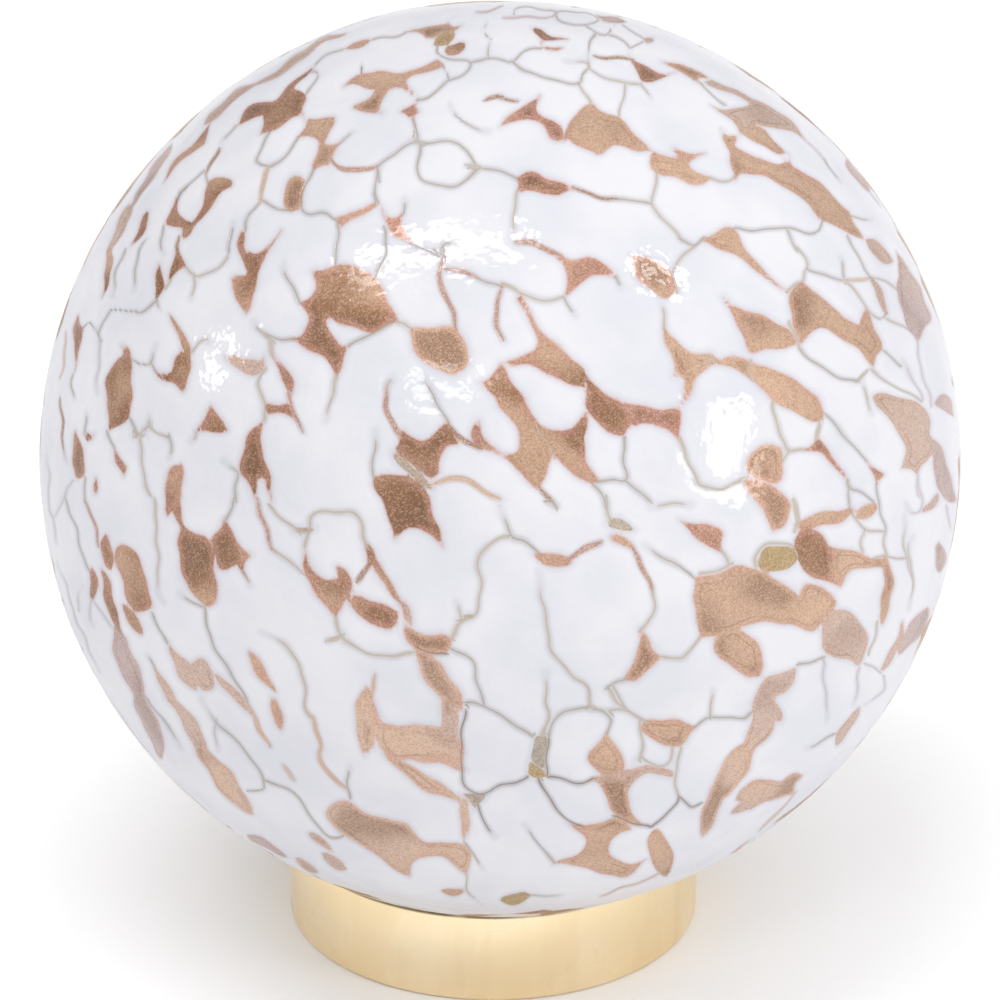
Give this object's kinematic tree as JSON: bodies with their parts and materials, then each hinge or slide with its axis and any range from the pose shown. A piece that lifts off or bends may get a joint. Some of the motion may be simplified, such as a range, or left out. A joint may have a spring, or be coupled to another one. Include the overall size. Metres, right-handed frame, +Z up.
{
  "type": "light-up glass ball",
  "caption": "Hollow blown glass globe, white flecked with copper, seated on a low round brass base as a glowing table ornament.",
  "frame": {"origin": "centre of the base's underside, on the surface it stands on", "axes": "+Z up along the base's axis, -Y towards the picture's viewer, +X to the viewer's right"},
  "size_m": [0.15, 0.15, 0.1565],
  "materials": {
    "mottled_glass": "glossy opal white glass with copper-brown flecks fused in",
    "brass": "satin brushed brass"
  },
  "bodies": {
    "root": {"glass_globe": "mottled_glass", "brass_base": "brass"}
  },
  "joints": []
}
